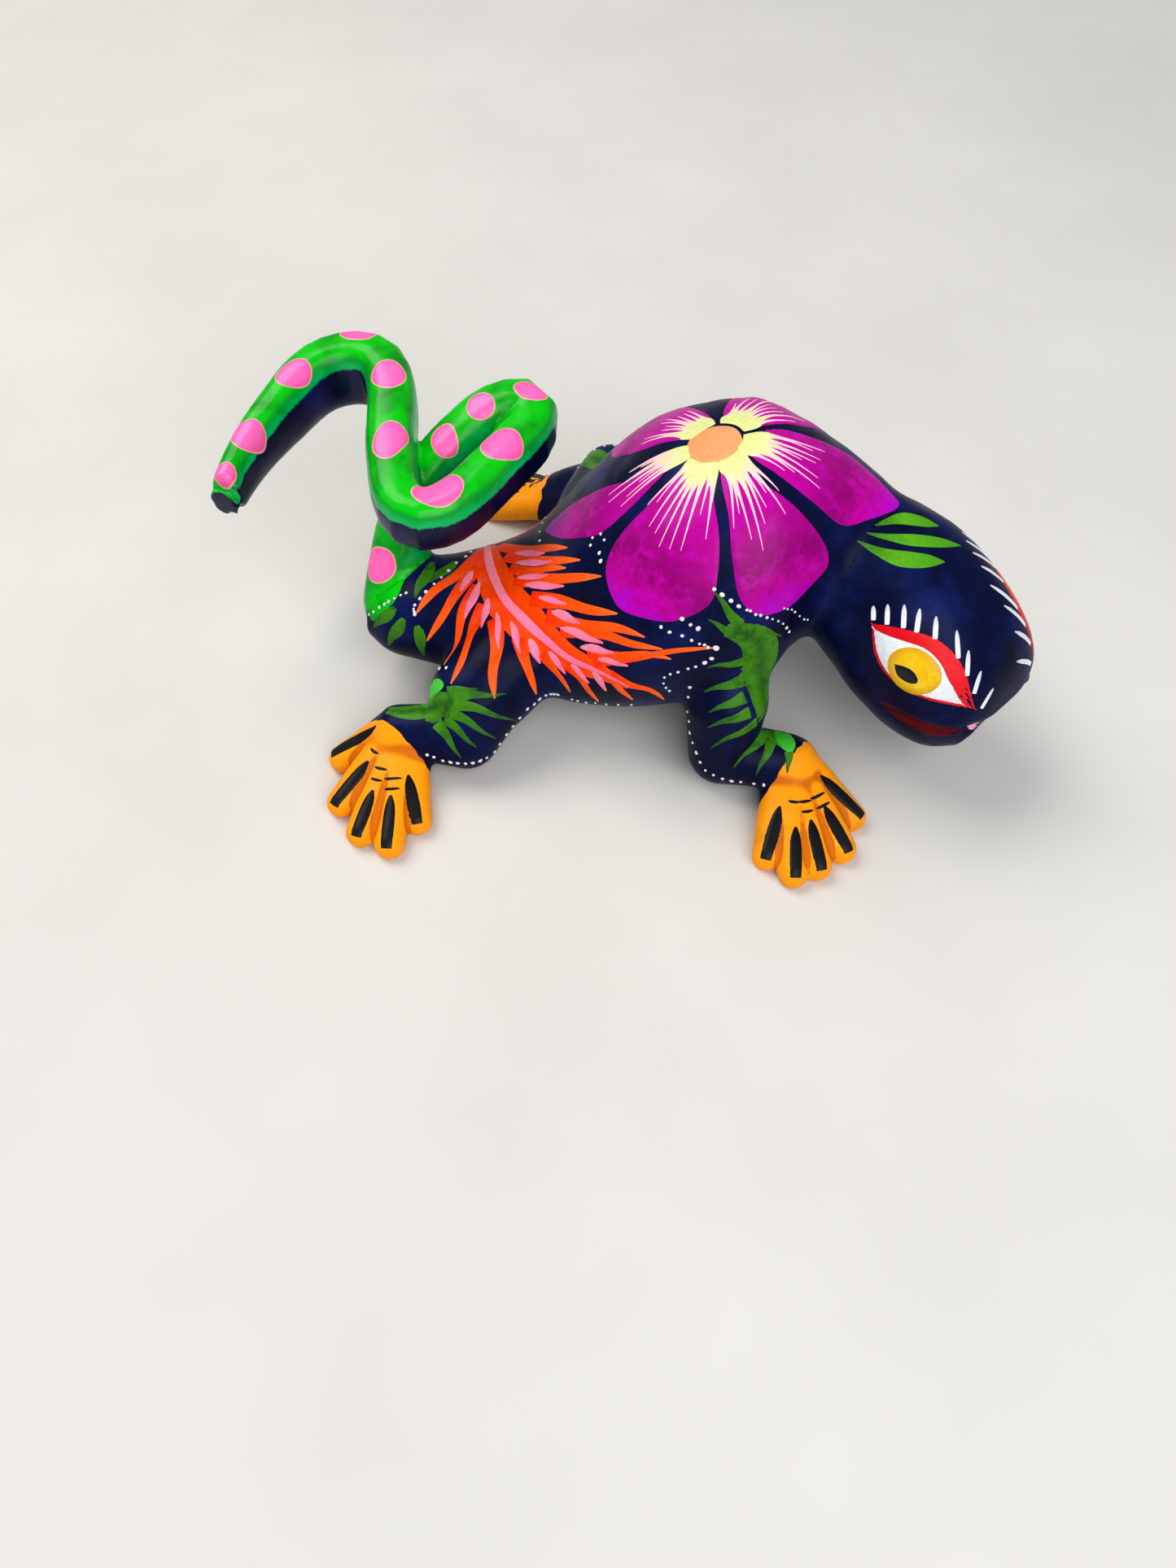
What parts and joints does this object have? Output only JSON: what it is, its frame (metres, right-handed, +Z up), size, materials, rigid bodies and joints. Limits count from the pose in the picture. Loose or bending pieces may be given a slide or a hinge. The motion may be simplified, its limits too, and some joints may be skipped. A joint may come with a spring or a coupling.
{
  "type": "carved and painted wooden lizard figure",
  "caption": "Folk-art lizard carved in wood and hand painted: flowered back, feathered flank, spread feet and a waved, spotted tail. A free-standing ornament.",
  "frame": {"origin": "on the floor, under the middle of the whole figure's bounding box", "axes": "+X from tail to head, the longest way; +Z up; -Y is the animal's right side, the side its head turns towards"},
  "size_m": [0.1343, 0.0992, 0.0532],
  "materials": {
    "navy_paint": "satin acrylic over sanded, lightly knife-marked wood, hand-painted motifs",
    "green_paint": "glossy acrylic, bright green blended to navy underneath, pink spots",
    "leg_paint": "satin acrylic, navy with green bursts, orange feet with black claws",
    "bare_wood": "unpainted, turned dowel"
  },
  "bodies": {
    "root": {"torso": "navy_paint", "head": "navy_paint", "tail": "green_paint", "front_right_leg": "leg_paint", "front_left_leg": "leg_paint", "rear_right_leg": "leg_paint", "rear_left_leg": "leg_paint", "neck_peg": "bare_wood", "tail_peg": "bare_wood", "front_right_peg": "bare_wood", "front_left_peg": "bare_wood", "rear_right_peg": "bare_wood", "rear_left_peg": "bare_wood"}
  },
  "joints": []
}
